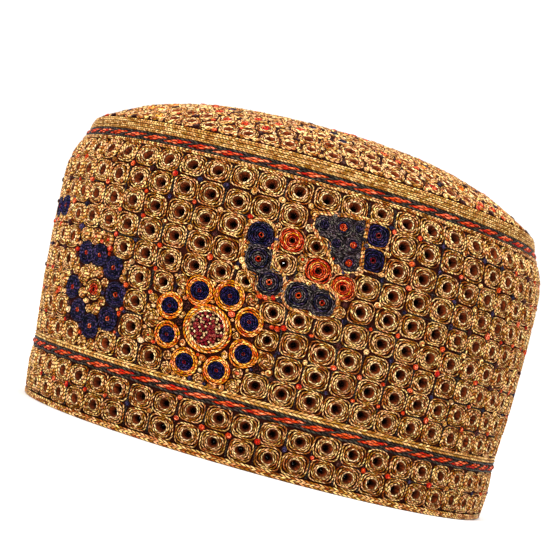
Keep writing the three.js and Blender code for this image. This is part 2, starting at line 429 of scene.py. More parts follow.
WEDGE = (
    (1.8, 92.9), (8.8, 94.2), (14.5, 95.4), (20.0, 95.6), (20.6, 86.2), (21.8, 76.6),
    (18.4, 75.2), (15.0, 74.8), (11.2, 76.8), (7.6, 81.4), (4.2, 85.0), (1.4, 88.2),
)
CRESCENTS = (((-14.2, 80.2), (-13.2, 72.0), (-8.0, 65.2)), ((2.6, 63.4), (11.0, 63.2)))  # chains of rosettes
FIGURE_ROSETTES = {
    "navy": NAVY_ROSETTE,
    "dark": DARK_ROSETTE,
    "navy_square": NAVY_SOLID_ROSETTE,
    "petal": PETAL_ROSETTE,
    "red": RED_ROSETTE,
    "small_red": SMALL_RED_ROSETTE,
    "small_navy": SMALL_NAVY_ROSETTE,
}
FLOWER_HEART = (-25.4, 43.8)  # middle of the great flower
FLOWER_RADIUS = 6.0
LITTLE_HEART = (-74.6, 46.4)  # middle of the navy flower
LITTLE_HEART_HALF = (3.9, 3.9)
# Beside one of the repeats
LONE_FIGURES = (("navy_square", 4.4, -107.0, 74.5), ("navy_square", 4.3, -116.0, 74.0))
# Eyelet of each kind of rosette, as a share of a grid eyelet's radius
EYELET_SHARE = {
    "navy": 0.3,
    "dark": 0.3,
    "navy_square": 0.34,
    "petal": 0.26,
    "red": 0.36,
    "small_red": 0.24,
    "small_navy": 0.24,
}

LIT = 0.29  # share of the way round a cord that faces straight out of the cloth; away from it the silk is painted darker, as shade on the cord's sides


def add(tree, kind, inputs=None, **settings):
    """Adds a node, sets its settings, and fills its inputs with numbers or with other nodes' outputs."""
    node = tree.nodes.new(kind)
    for name, value in settings.items():
        setattr(node, name, value)
    for socket, value in (inputs or {}).items():
        if isinstance(value, bpy.types.NodeSocket):
            tree.links.new(value, node.inputs[socket])
        else:
            node.inputs[socket].default_value = value
    return node


def new_material(name):
    """An empty material with a surface shader on its output."""
    made = bpy.data.materials.new(name)
    made.use_nodes = True
    tree = made.node_tree
    tree.nodes.clear()
    surface = add(tree, "ShaderNodeBsdfPrincipled")
    add(tree, "ShaderNodeOutputMaterial", {"Surface": surface.outputs[0]})
    return made, tree, surface


# Real sizes behind the patterns, in millimetres
FIBRE = 0.4  # clumps of silk fibres along a strand, drawn coarser than the fibres so that they show
STITCH = 0.67  # loops of the silk whipped over an eyelet
SLUB = 4.0  # uneven patches of the cotton
GROUND_THREAD = 1.1  # threads of the ground cotton, drawn coarser than they are so that they show
LINING_STITCH = 0.7  # back of the stitches
COOL_HUE = 0.469  # hue shift of a strand before its paleness turns it yellower
PAINTED_SHADE_POWER = 1.8  # power that takes a dye to the deeper, redder colour of the painted shade between two strands and on a cord's sides
PAINTED_SHADE_SHARE = 0.12  # how much light comes back from there: how bright that painted shade is


def per_metre(length):
    """Scale of a pattern whose repeat is a length in millimetres."""
    return 1 / (length * MM)


def silk(name, colour, pale, dark, stray, gap_shade_width):
    """Silk reeled in strands and twisted into a cord. Each strand slants round the cord. Its ridge shows the dye,
    and painted shade in a deeper, redder colour fills the gaps between two strands and the cord's sides away from
    its crest, standing for the shade and the light that bounces there. Strands differ in tone as hand-dyed silk
    does, and clumps of fibre break up the soft gloss."""
    made, tree, surface = new_material(name)
    thread = add(tree, "ShaderNodeUVMap", uv_map="Thread")
    parts = add(tree, "ShaderNodeSeparateXYZ", {0: thread.outputs[0]})
    share = add(tree, "ShaderNodeMath", {0: parts.outputs[0]}, operation="FRACT")
    swing = add(tree, "ShaderNodeMath", {0: share.outputs[0], 1: math.pi}, operation="MULTIPLY")
    ridge = add(tree, "ShaderNodeMath", {0: swing.outputs[0]}, operation="SINE")
    strand = add(tree, "ShaderNodeMath", {0: parts.outputs[0]}, operation="FLOOR")
    # Painted shade on the cord's sides: away from its crest at LIT the colour is mixed towards the painted shade
    # colour.
    aside = add(tree, "ShaderNodeMath", {0: parts.outputs[1], 1: LIT}, operation="SUBTRACT")
    tuck = add(tree, "ShaderNodeMath", {0: aside.outputs[0]}, operation="ABSOLUTE")
    turned = add(
        tree, "ShaderNodeMapRange",
        {"Value": tuck.outputs[0], "From Min": 0.1, "From Max": 0.3, "To Min": 1.0, "To Max": 0.2},
    )
    tone = add(tree, "ShaderNodeAttribute", attribute_name="tone")
    key = add(tree, "ShaderNodeCombineXYZ", {0: strand.outputs[0], 1: tone.outputs["Fac"]})
    chance = add(tree, "ShaderNodeTexWhiteNoise", {"Vector": key.outputs[0]}, noise_dimensions="2D")
    place = add(tree, "ShaderNodeTexCoord")
    fibre = add(
        tree, "ShaderNodeTexNoise",
        {"Vector": place.outputs["Object"], "Scale": per_metre(FIBRE), "Detail": 2.0},
    )
    strength = add(
        tree, "ShaderNodeMapRange", {"Value": chance.outputs["Value"], "To Min": 1 - dark, "To Max": 1 + pale}
    )
    # Painted shade in the gaps between two strands.
    gap_shade = add(
        tree, "ShaderNodeMapRange", {"Value": ridge.outputs[0], "From Min": 0.26, "From Max": gap_shade_width},
        interpolation_type="SMOOTHSTEP",
    )
    shaded = add(tree, "ShaderNodeMath", {0: gap_shade.outputs[0], 1: turned.outputs[0]}, operation="MULTIPLY")
    worn = add(
        tree, "ShaderNodeMapRange",
        {"Value": fibre.outputs[0], "From Min": 0.3, "From Max": 0.7, "To Min": 0.72, "To Max": 1.25},
    )
    value = add(tree, "ShaderNodeMath", {0: strength.outputs[0], 1: worn.outputs[0]}, operation="MULTIPLY")
    hues = add(tree, "ShaderNodeSeparateColor", {0: chance.outputs["Color"]})
    warmth = add(
        tree, "ShaderNodeMapRange",
        {"Value": hues.outputs[1], "To Min": COOL_HUE - stray, "To Max": COOL_HUE + stray},
    )
    lean = add(
        tree, "ShaderNodeMath", {0: value.outputs[0], 1: 0.03, 2: warmth.outputs[0]}, operation="MULTIPLY_ADD"
    )
    paler = add(
        tree, "ShaderNodeMapRange",
        {"Value": value.outputs[0], "From Min": 0.2, "From Max": 1.5, "To Min": 1.2, "To Max": 0.85},
    )
    dyed = add(
        tree, "ShaderNodeHueSaturation",
        {"Hue": lean.outputs[0], "Saturation": paler.outputs[0], "Value": value.outputs[0], "Color": colour},
    )
    # The painted shade colour: the dye made deeper and redder.
    painted_shade = (*[channel**PAINTED_SHADE_POWER * PAINTED_SHADE_SHARE for channel in colour[:3]], 1.0)
    shown = add(tree, "ShaderNodeMix", {0: shaded.outputs[0], 6: painted_shade, 7: dyed.outputs[0]}, data_type="RGBA")
    tree.links.new(shown.outputs[2], surface.inputs["Base Color"])
    relief = add(
        tree, "ShaderNodeMath", {0: fibre.outputs[0], 1: 0.35, 2: ridge.outputs[0]}, operation="MULTIPLY_ADD"
    )
    bump = add(tree, "ShaderNodeBump", {"Height": relief.outputs[0], "Strength": 0.9, "Distance": 0.16 * MM})
    tree.links.new(bump.outputs[0], surface.inputs["Normal"])
    surface.inputs["Roughness"].default_value = 0.55
    surface.inputs["Specular IOR Level"].default_value = 0.07
    surface.inputs["IOR"].default_value = 1.54
    return made


def cotton(name, colour, thread, depth):
    """Cotton, plain woven and doubled: matt, a little uneven, its threads or stitches standing out of it."""
    made, tree, surface = new_material(name)
    place = add(tree, "ShaderNodeTexCoord")
    weave = add(tree, "ShaderNodeTexVoronoi", {"Vector": place.outputs["Object"], "Scale": per_metre(thread)})
    blotch = add(
        tree, "ShaderNodeTexNoise", {"Vector": place.outputs["Object"], "Scale": per_metre(SLUB), "Detail": 3.0}
    )
    tint = add(
        tree, "ShaderNodeMapRange",
        {"Value": blotch.outputs[0], "From Min": 0.3, "From Max": 0.7, "To Min": 0.6, "To Max": 1.5},
    )
    dyed = add(tree, "ShaderNodeHueSaturation", {"Value": tint.outputs[0], "Color": colour})
    tree.links.new(dyed.outputs[0], surface.inputs["Base Color"])
    bump = add(
        tree, "ShaderNodeBump", {"Height": weave.outputs["Distance"], "Strength": 0.8, "Distance": depth * MM}
    )
    tree.links.new(bump.outputs[0], surface.inputs["Normal"])
    surface.inputs["Roughness"].default_value = 0.9
    surface.inputs["Specular IOR Level"].default_value = 0.05
    surface.inputs["IOR"].default_value = 1.5
    return made


def whipping(name, rim, painted_shade):
    """Silk whipped over the edge of an eyelet: stitches run down the funnel, brown at its rim, with painted shade
    darkening them inwards to the near-black eyelet depth colour.
    """
    made, tree, surface = new_material(name)
    thread = add(tree, "ShaderNodeUVMap", uv_map="Thread")
    parts = add(tree, "ShaderNodeSeparateXYZ", {0: thread.outputs[0]})
    stitch = add(tree, "ShaderNodeMath", {0: parts.outputs[0]}, operation="FLOOR")
    chance = add(tree, "ShaderNodeTexWhiteNoise", {"W": stitch.outputs[0]}, noise_dimensions="1D")
    place = add(tree, "ShaderNodeTexCoord")
    fibre = add(
        tree, "ShaderNodeTexNoise",
        {"Vector": place.outputs["Object"], "Scale": per_metre(STITCH), "Detail": 2.0},
    )
    strength = add(
        tree, "ShaderNodeMapRange", {"Value": chance.outputs["Value"], "To Min": 0.45, "To Max": 1.7}
    )
    worn = add(
        tree, "ShaderNodeMapRange",
        {"Value": fibre.outputs[0], "From Min": 0.3, "From Max": 0.7, "To Min": 0.6, "To Max": 1.4},
    )
    value = add(tree, "ShaderNodeMath", {0: strength.outputs[0], 1: worn.outputs[0]}, operation="MULTIPLY")
    # Painted shade down the funnel, from the rim to the throat.
    shade_inwards = add(tree, "ShaderNodeMapRange", {"Value": parts.outputs[1]}, interpolation_type="SMOOTHSTEP")
    mixed = add(tree, "ShaderNodeMix", {0: shade_inwards.outputs[0], 6: rim, 7: painted_shade}, data_type="RGBA")
    dyed = add(tree, "ShaderNodeHueSaturation", {"Value": value.outputs[0], "Color": mixed.outputs[2]})
    tree.links.new(dyed.outputs[0], surface.inputs["Base Color"])
    bump = add(tree, "ShaderNodeBump", {"Height": value.outputs[0], "Strength": 0.7, "Distance": 0.2 * MM})
    tree.links.new(bump.outputs[0], surface.inputs["Normal"])
    surface.inputs["Roughness"].default_value = 0.7
    surface.inputs["Specular IOR Level"].default_value = 0.06
    surface.inputs["IOR"].default_value = 1.54
    return made


# Each thread, named as its colour is: its material, how much paler and darker than that colour single
# strands are, how far their hue strays, and how wide the painted shade between two strands is.
THREADS = {
    "gold": ("Gold silk, twisted cord", 0.95, 0.75, 0.022, 0.9),
    "ivory": ("Ivory silk, twisted cord", 0.7, 0.7, 0.02, 0.8),
    "strip": ("Yellow gold silk, twisted cord", 0.5, 0.6, 0.012, 0.6),
    "navy": ("Navy silk, twisted cord", 1.7, 0.95, 0.04, 1.0),
    "dark": ("Slate silk, twisted cord", 1.9, 0.95, 0.11, 1.0),
    "blue": ("Blue silk, twisted cord", 0.9, 0.9, 0.02, 1.0),
    "orange": ("Orange silk, twisted cord", 0.6, 0.6, 0.03, 0.8),
    "red": ("Vermilion silk, twisted cord", 0.25, 0.5, 0.006, 0.8),
    "black": ("Black silk, twisted cord", 0.9, 0.5, 0.05, 0.95),
    "maroon": ("Crimson silk, twisted cord", 0.4, 0.4, 0.01, 0.95),
    "seam": ("Brown silk, twisted cord", 0.4, 0.3, 0.01, 0.95),
}


# Slot of each thread that isn't gold
SLOTS = {
    "red": "red_thread",
    "maroon": "red_thread",
    "navy": "black_thread",
    "dark": "black_thread",
    "blue": "black_thread",
    "black": "black_thread",
}


def thread_material(thread):
    """The silk of a thread, made the first time that it is asked for."""
    name, *look = THREADS[thread]
    found = bpy.data.materials.get(name)
    if found:
        return found
    return silk(name, getattr(bpy.context.scene.cap_colours, thread), *look)


def make_pieces(skeins, name):
    """Makes a piece of each thread's skein, if it holds anything, with the thread in its name."""
    for thread, skein in skeins.items():
        if skein.points:
            skein.piece(name.format(thread), [thread_material(thread)], SLOTS.get(thread, "gold_thread"))


# Layout of the eyelets, in millimetres unless a share is named
STRAY = 0.12  # how far a grid eyelet strays from its place
CLEAR = 2.7  # least gap from a grid eyelet's middle to a figure
PRESSED = 1.5  # most that a figure presses into a grid rosette
MOVED, SHRUNK = 0.55, 0.45  # shares of that by which the rosette moves off and shrinks
HEART_REACH = 1.43  # outermost ring of a great flower's heart, as a share of its radius
LITTLE_HEART_REACH = 4.2
KNOT_GAP = 1.6  # least gap from a crossing's knot to a figure
PLACE_STEP = 0.62  # between the places where a coil or knot may go
WIDEST_COIL = 3.9
FIGURE_EDGE = 4.5  # within this of a figure the smallest gaps are filled too
DARK_REACH = 6.2  # between two dark rosettes this close, the filling is dark
SMALL_KNOT = 1.5  # a filling smaller than this may be of any thread
CROWN_EDGE = 5.2  # from the seam to the middles of the crown's outer ring of eyelets
FILLINGS = ("gold", "ivory", "red", "seam", "navy")


class Layout:
    """Where each eyelet, figure, cord and knot lies on the band and the crown."""

    def __init__(self, sizes):
        self.sizes = sizes
        self.face = face = Face(sizes)
        self.band, self.crown = BandSheet(face), CrownSheet(face)
        self.random = np.random.default_rng(58)
        self.pitch = face.girth / sizes.columns
        self.front = 0.75 * face.girth
        self.low_stack = face.run_at(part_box("lower_black_cord_bottom")[0].z / MM)
        self.main_low = face.run_at(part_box("lower_gold_cord")[1].z / MM)
        self.main_high = face.run_at(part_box("upper_gold_cord")[0].z / MM)
        self.brim_lines = np.linspace(sizes.binding_height, self.low_stack, sizes.brim_rows + 1)
        self.band_lines = np.linspace(self.main_low, self.main_high, sizes.band_rows + 1)
        self.lay_figures()
        self.lay_band()
        self.lay_crossings()
        self.lay_crown()
        self.fill_band()
        self.fill_crown()

    def lay_figures(self):
        """The coloured figures, as (kind, radius, along, up)."""
        repeat = self.face.girth / REPEATS
        self.figures = [
            (kind, radius, self.front + along + repeat * turn, self.face.run_at(height))
            for turn in range(REPEATS)
            for kind, radius, along, height in FIGURES
        ]
        self.figures += [
            (kind, radius, self.front + along, self.face.run_at(height))
            for kind, radius, along, height in LONE_FIGURES
        ]
        self.hearts, self.little_hearts = (
            [(self.front + along + repeat * turn, self.face.run_at(height)) for turn in range(REPEATS)]
            for along, height in (FLOWER_HEART, LITTLE_HEART)
        )
        spots = [(along, up, radius) for kind, radius, along, up in self.figures]
        spots += [(*heart, FLOWER_RADIUS * HEART_REACH) for heart in self.hearts]
        spots += [(*heart, LITTLE_HEART_REACH) for heart in self.little_hearts]
        self.spots = np.array(spots)

    def clearance(self, flat):
        """From each flat point to the edge of the nearest figure, and which figure that is."""
        flat = np.atleast_2d(flat)
        girth = self.face.girth
        along = (flat[:, None, 0] - self.spots[None, :, 0] + girth / 2) % girth - girth / 2
        rise = flat[:, None, 1] - self.spots[None, :, 1]
        gaps = np.hypot(along, rise) - self.spots[None, :, 2]
        nearest = gaps.argmin(axis=1)
        rows = np.arange(len(flat))
        away = np.column_stack([along[rows, nearest], rise[rows, nearest]])
        return gaps[rows, nearest], away

    def lay_band(self):
        """The grid of eyelets, as (along, up, half width, half height), each moved a little off the figures."""
        half_wide = self.pitch / 2
        grid = []
        for lines in (self.brim_lines, self.band_lines):
            for low, high in zip(lines, lines[1:]):
                for column in range(self.sizes.columns):
                    grid.append(((column + 0.5) * self.pitch, (low + high) / 2, half_wide, (high - low) / 2))
        grid = np.array(grid)
        grid[:, :2] += self.random.normal(0, STRAY, (len(grid), 2))
        gap, away = self.clearance(grid[:, :2])
        reach = grid[:, 3]
        on_band = grid[:, 1] > self.main_low
        kept = (gap > CLEAR) | ~on_band
        short = np.where(on_band, np.clip(reach * 0.97 - gap, 0, PRESSED), 0)
        grid[:, :2] += away / np.hypot(*away.T)[:, None] * (short * MOVED)[:, None]
        shrink = 1 - short * SHRUNK / reach
        grid[:, 2] *= shrink
        grid[:, 3] *= shrink
        self.grid = grid[kept]

    def lay_crossings(self):
        """Knots where the cords cross, as (thread, radius, along, up)."""
        random, sizes = self.random, self.sizes
        lines = (*self.brim_lines[1:-1], *self.band_lines[1:-1])
        spots = np.array([(column * self.pitch, line) for line in lines for column in range(sizes.columns)])
        room, _ = self.clearance(spots)
        self.knots = []
        for spot, free in zip(spots + random.normal(0, 0.3, spots.shape), room):
            chance = random.uniform()
            if free > KNOT_GAP and chance < sizes.red_knots:
                self.knots.append(("red", random.uniform(0.75, 1.2), *spot))
            elif free > KNOT_GAP and chance < sizes.red_knots + sizes.dark_knots:
                self.knots.append(("navy", random.uniform(0.7, 1.0), *spot))

    def fill_band(self):
        """Coils and knots in what the grid and the figures leave of the band: (thread, radius, along, up)."""
        self.band_fill = []
        girth = self.face.girth
        cells = [(along, up, wide, tall * 1.02, 2.9) for along, up, wide, tall in self.grid]
        cells += [(along, up, radius * 1.04, radius * 1.04, 2.1) for along, up, radius in self.spots]
        cells += [(along, up, radius * 0.8, radius * 0.8, 2) for thread, radius, along, up in self.knots]
        for low, high in ((self.brim_lines[0], self.brim_lines[-1]), (self.band_lines[0], self.band_lines[-1])):
            rise = np.arange(low + 0.4, high - 0.3, PLACE_STEP)
            along, up = np.meshgrid(np.arange(0, girth, PLACE_STEP), rise)
            flat = np.column_stack([along.ravel(), up.ravel()])
            room = np.minimum(flat[:, 1] - low, high - flat[:, 1]) + 0.35
            room = self.squeeze(flat, room, np.array(cells), girth)
            by_figure = self.clearance(flat)[0] < FIGURE_EDGE
            room[~by_figure & (room < 0.85)] = 0
            self.band_fill += self.pack(flat, room, girth, 0.55)
        dark = [(along, up) for kind, radius, along, up in self.figures if kind.startswith(("dark", "small"))]
        dark = np.array(dark)
        made = []
        for radius, along, up in self.band_fill:
            aside = (along - dark[:, 0] + girth / 2) % girth - girth / 2
            near = (np.hypot(aside, up - dark[:, 1]) < radius + DARK_REACH).sum()
            thread = "dark" if near >= 2 else "gold"
            if thread == "gold" and radius < SMALL_KNOT:
                thread = self.random.choice(FILLINGS, p=[0.48, 0.04, 0.12, 0.28, 0.08])
            made.append((thread, radius, along, up))
        self.band_fill = made

    def fill_crown(self):
        """Coils and knots in what the rings of eyelets leave of the crown, as (thread, radius, x, y)."""
        a, b = self.crown.spread
        reach = self.face.top_run - self.face.seam_run - 0.8
        x, y = np.meshgrid(*(np.arange(-half * reach, half * reach, PLACE_STEP) for half in (a, b)))
        flat = np.column_stack([x.ravel(), y.ravel()])
        room = (reach - np.hypot(flat[:, 0] / a, flat[:, 1] / b)) + 0.3
        flat, room = flat[room > 0.3], room[room > 0.3]
        cells = [(x, y, radius, radius, 2.2) for x, y, radius in self.rounds]
        room = self.squeeze(flat, room, cells, 1e9)
        self.crown_fill = [
            (self.random.choice(FILLINGS, p=[0.5, 0.12, 0.13, 0.2, 0.05]), *spot)
            for spot in self.pack(flat, room, 1e9, 0.7)
        ]

    @staticmethod
    def squeeze(flat, room, cells, girth):
        """The room left at each flat point beside cells, each (along, up, half width, half height, power)."""
        room = room.copy()
        for along, up, wide, tall, power in cells:
            aside = np.abs((flat[:, 0] - along + girth / 2) % girth - girth / 2)
            near = aside < wide + 8
            away = ((aside[near] / wide) ** power + (np.abs(flat[near, 1] - up) / tall) ** power) ** (1 / power)
            room[near] = np.minimum(room[near], (away - 1) * (wide + tall) / 2)
        return room

    @staticmethod
    def pack(flat, room, girth, least):
        """Circles that fill the room, largest first, as (radius, along, up)."""
        kept = room > least
        flat, room = flat[kept], room[kept]
        made = []
        while len(room) and room.max() > least:
            best = room.argmax()
            radius = min(room[best], WIDEST_COIL)
            spot = flat[best]
            made.append((radius, *spot))
            aside = np.abs((flat[:, 0] - spot[0] + girth / 2) % girth - girth / 2)
            room = np.minimum(room, np.hypot(aside, flat[:, 1] - spot[1]) - radius)
            if len(made) % 40 == 0:  # drops the places that are taken, now and then
                kept = room > least
                flat, room = flat[kept], room[kept]
        return made

    def lay_crown(self):
        """The rings of eyelets on the crown, as (x, y, radius), from the seam to the middle."""
        face, pitch = self.face, self.sizes.crown_pitch
        a, b = self.crown.spread
        spots = []
        reach = face.top_run - face.seam_run - CROWN_EDGE
        self.rim_reach = reach - pitch / 2
        while reach > pitch * 0.6:
            angles = np.linspace(0, 2 * math.pi, 721)
            oval = reach * np.column_stack([a * np.cos(angles), b * np.sin(angles)])
            length = np.concatenate([[0], np.cumsum(np.hypot(*np.diff(oval, axis=0).T))])
            count = max(4, round(length[-1] / pitch))
            begin = self.random.uniform(0, 1)
            angle = np.interp((np.arange(count) + begin) % count * length[-1] / count, length, angles)
            ring = reach * np.column_stack([a * np.cos(angle), b * np.sin(angle)])
            spread = np.hypot(a * np.cos(angle), b * np.sin(angle))
            radius = (length[-1] / count + spread * pitch) / 4 * 0.985
            spots.append(np.column_stack([ring, radius]))
            reach -= pitch
        spots.append([[0, 0, pitch * 0.48]])
        self.rounds = np.vstack(spots)
        self.rounds[:, :2] += self.random.normal(0, 0.16, (len(self.rounds), 2))


LAYOUT = {}


def layout():
    """The layout, worked out the first time that it is asked for."""
    if not LAYOUT:
        LAYOUT["cap"] = Layout(bpy.context.scene.cap_sizes)
    return LAYOUT["cap"]


def wobble(random, share=0.035):
    """How far a hand-couched ring is off round: the sizes and the turns of its two waves."""
    large, turn = random.normal(0, share), random.uniform(0, 6.3)
    return large, turn, random.normal(0, share * 0.6), random.uniform(0, 6.3)


def lay_rosette(skeins, sheet, centre, half, recipe, random, sizes, keep=None, sink=0.0, slack=1.0):
    """Couches the rings of one rosette. skeins is a Skein for each thread, and slack lengthens the twist."""
    half = np.array(half) * (1 + random.normal(0, 0.02))
    least = half.min()
    slant = 1.7
    for thread, share, weight, square, steps in recipe:
        slant = -slant
        cord = sizes.ring_cord * weight
        radii = np.maximum(least * share + (half - least) * share**3 - cord * 0.5, 0.35)
        path = circle(centre + random.normal(0, 0.05, 2), radii, steps, square, wobble(random))
        tall = cord * random.uniform(0.95, 1.25)
        width, tone = cord * random.uniform(1.05, 1.25), random.uniform(0, 50)
        base = random.uniform(-0.05, 0.1) - sink
        if keep is None or thread in keep:
            lay_cord(
                skeins[thread], sheet, path, width, tall, sizes.twist * slack, tone, closed=True, base=base,
                section=THREE_SIDES, slant=slant,
            )


def knot(skein, sheet, centre, radius, random, sides=7, tall=1.0):
    """A knot of thread that stands on the cloth: three turns, each smaller than the last."""
    angles = np.linspace(0, 2 * math.pi, sides, endpoint=False) + random.uniform(0, 6.3)
    rows = ((0.86, -0.2), (1.0, 0.45), (0.62, 0.95))  # reach and rise of each turn, as shares of the radius
    flat, off = [], []
    stretch = random.uniform(0.85, 1.2)
    for reach, rise in rows:
        ring = centre + radius * reach * np.column_stack([np.cos(angles) * stretch, np.sin(angles) / stretch])
        flat.append(ring)
        off.append(np.full(sides, rise * radius * 0.95 * tall))
    flat.append(np.array([centre]))
    off.append(np.array([radius * tall]))
    points = sheet.place(np.vstack(flat), np.concatenate(off))
    quads, maps = [], []
    for row in range(len(rows) - 1):
        for k in range(sides):
            n = (k + 1) % sides
            quads.append((row * sides + k, row * sides + n, (row + 1) * sides + n, (row + 1) * sides + k))
            near, far = (k / sides * 2 + row, LIT), ((k + 1) / sides * 2 + row, LIT)
            maps += [near, far, (far[0] + 1, LIT), (near[0] + 1, LIT)]
    last = (len(rows) - 1) * sides
    caps = [(last + k, last + (k + 1) % sides, last + sides) for k in range(sides)]
    cap_maps = []
    for k in range(sides):
        cap_maps += [(k / sides * 2 + 2, LIT), ((k + 1) / sides * 2 + 2, LIT)]
        cap_maps.append(((k + 0.5) / sides * 2 + 2.5, LIT))
    tone = random.uniform(0, 50)
    skein.add(points, quads, maps, tone)
    skein.add(points, caps, cap_maps, tone)


FUNNEL = ((0.8, 0.3), (0.45, 0.72))  # rings down an eyelet: share of its widening, and of the cloth's thickness
STITCHES = 1.6  # whipped stitches on one side of a funnel
WELD = 2e-6  # corners closer than this, in metres, are one
SEAM_GAP = 0.12  # from the edge of a cloth to the seam of the crown
BAND_SEAM = 3  # columns of eyelets from the start of the band to where its cloth joins
BORDER_STEPS = 44  # points up the side of the band laid flat
CELL = 4.33  # half the height of a common cell of the band's grid
CROWN_CELL = 4.05  # radius of a common cell of the crown
CROWN_EYELET = 0.88  # a crown eyelet's radius, as a share of one in the band
ROSETTE_FILL = (0.965, 0.975)  # shares of a cell's width and height that its rosette fills
COLOURED = (0.15, 0.32)  # shares of the crown's eyelets with a coloured centre, in the outer ring and inside it


def cut_cloth(sheet, border, middles, radius, throat, thickness, sides=10):
    """Cloth with a face, a back, an edge and a funnel at each eyelet, as points, faces and their kinds: 0 the
    face, 1 the back and 2 the funnels. border is a list of flat points round the sheet, anticlockwise."""
    angles = np.linspace(0, 2 * math.pi, sides, endpoint=False)
    wheel = np.column_stack([np.cos(angles), np.sin(angles)])
    radius = np.broadcast_to(radius, len(middles))
    points, faces, kinds = [], [], []
    count = 0
    holes = {}
    for kind, hole, off in ((0, radius, 0.0), (1, np.full(len(middles), throat), -thickness)):
        rings = middles[:, None, :] + wheel[None] * hole[:, None, None]
        flat = np.vstack([border, rings.reshape(-1, 2)])
        edges = [(k, (k + 1) % len(border)) for k in range(len(border))]
        first = len(border)
        for m in range(len(middles)):
            edges += [(first + m * sides + k, first + m * sides + (k + 1) % sides) for k in range(sides)]
        made, _, triangles, _, _, _ = delaunay_2d_cdt([Vector(p) for p in flat], edges, [], 0, 1e-5)
        made = np.array([tuple(p) for p in made])
        triangles = np.array(triangles)
        centre = made[triangles].mean(axis=1)
        owner = nearest(centre, middles)
        outside_holes = np.hypot(*(centre - middles[owner]).T) > hole[owner] * 0.93
        triangles = triangles[outside_holes & within(centre, border)]
        if kind == 1:
            triangles = triangles[:, ::-1]
        points.append(sheet.place(made, off))
        faces.append(triangles + count)
        kinds.append(np.full(len(triangles), kind))
        holes[kind] = len(border) + np.arange(len(middles) * sides).reshape(-1, sides) + count
        count += len(made)
    edge_top, edge_low = np.arange(len(border)), np.arange(len(border)) + len(points[0])
    ahead = np.roll(np.arange(len(border)), -1)
    wall = np.column_stack([edge_low, edge_low[ahead], edge_top[ahead], edge_top])
    rings = [holes[0]]
    for reach, depth in FUNNEL:
        ring = middles[:, None, :] + wheel[None] * (throat + (radius - throat) * reach)[:, None, None]
        points.append(sheet.place(ring.reshape(-1, 2), -thickness * depth))
        rings.append(count + np.arange(len(middles) * sides).reshape(-1, sides))
        count += len(points[-1])
    rings.append(holes[1])
    funnels = []
    for upper, lower in zip(rings, rings[1:]):
        corners = (upper, np.roll(upper, -1, 1), np.roll(lower, -1, 1), lower)
        funnels.append(np.stack(corners, -1).reshape(-1, 4))
    return np.vstack(points), (np.vstack(faces), np.concatenate(kinds)), wall, np.vstack(funnels)


def nearest(points, middles):
    """Index of the nearest middle to each point."""
    found = np.empty(len(points), int)
    for start in range(0, len(points), 4000):
        part = points[start : start + 4000]
        gaps = ((part[:, None, :] - middles[None]) ** 2).sum(-1)
        found[start : start + 4000] = gaps.argmin(1)
    return found


def within(points, border):
    """Which points lie inside a closed border."""
    x, y = points.T
    inside = np.zeros(len(points), bool)
    for (x0, y0), (x1, y1) in zip(border, np.roll(border, -1, axis=0)):
        crosses = (y0 > y) != (y1 > y)
        if y1 != y0:
            inside ^= crosses & (x < (x1 - x0) * (y - y0) / (y1 - y0) + x0)
    return inside


def sew_cloth(name, sheet, border, middles, radius, replaced):
    """Makes one sheet of cloth with eyelets as a piece."""
    sizes, colours = bpy.context.scene.cap_sizes, bpy.context.scene.cap_colours
    points, (flat_faces, kinds), wall, funnels = cut_cloth(
        sheet, border, middles, radius, sizes.throat, sizes.cloth
    )
    rounded = np.round(points / WELD).astype(np.int64)
    _, index, inverse = np.unique(rounded, axis=0, return_index=True, return_inverse=True)
    inverse = inverse.reshape(-1)
    points = points[index]
    skein = Skein()
    levels = len(FUNNEL) + 1
    level, stitch = np.divmod(np.arange(len(funnels)), len(funnels) // levels)
    stitch = stitch * STITCHES + 0.01
    ahead, low, high = stitch + STITCHES, level / levels, (level + 1) / levels
    funnel_maps = np.stack([stitch, low, ahead, low, ahead, high, stitch, high], 1).reshape(-1, 2)
    groups = ((flat_faces[kinds == 0], 0), (flat_faces[kinds != 0], 1), (wall, 1), (funnels, 2))
    skein.points.append(points)
    for faces, kind in groups:
        faces = inverse[faces]
        if faces.shape[1] == 4:
            whole = (faces[:, 0] != faces[:, 3]) & (faces[:, 1] != faces[:, 2]) & (faces[:, 0] != faces[:, 1])
            faces = faces[whole]
        skein.quads.append(faces)
        skein.maps.append(funnel_maps if kind == 2 else np.zeros((faces.size, 2)))
        skein.tones.append(np.zeros(len(faces)))
        skein.kinds.append(np.full(len(faces), kind))
    # The eyelets' depth colour is painted shade, and the ground is partly painted shade.
    materials = [
        cotton(f"{name} ground cotton", colours.ground, GROUND_THREAD, 0.2),
        cotton(f"{name} lining side, back of the stitches", colours.lining, LINING_STITCH, 0.3),
        whipping(f"{name} whipped eyelets, brown silk", colours.eyelet, colours.depth),
    ]
    skein.piece(name, materials, "cloth", replaced)


def band_border(lay):
    """Round the band laid flat, anticlockwise from its lower left corner, cut where no eyelet lies."""
    start = BAND_SEAM * lay.pitch
    low, high = lay.sizes.binding_height - 0.4, lay.face.seam_run - SEAM_GAP
    count = lay.sizes.columns * 5
    along = np.linspace(0, lay.face.girth, count + 1) + start
    up = np.linspace(low, high, BORDER_STEPS + 1)
    return np.vstack([
        np.column_stack([along[:-1], np.full(count, low)]),
        np.column_stack([np.full(BORDER_STEPS, along[-1]), up[:-1]]),
        np.column_stack([along[:0:-1], np.full(count, high)]),
        np.column_stack([np.full(BORDER_STEPS, along[0]), up[:0:-1]]),
    ])


def wrap(lay, flat):
    """Flat points of the band brought to the stretch that band_border covers."""
    start = BAND_SEAM * lay.pitch
    flat = np.array(flat, float)
    flat[:, 0] = (flat[:, 0] - start) % lay.face.girth + start
    return flat


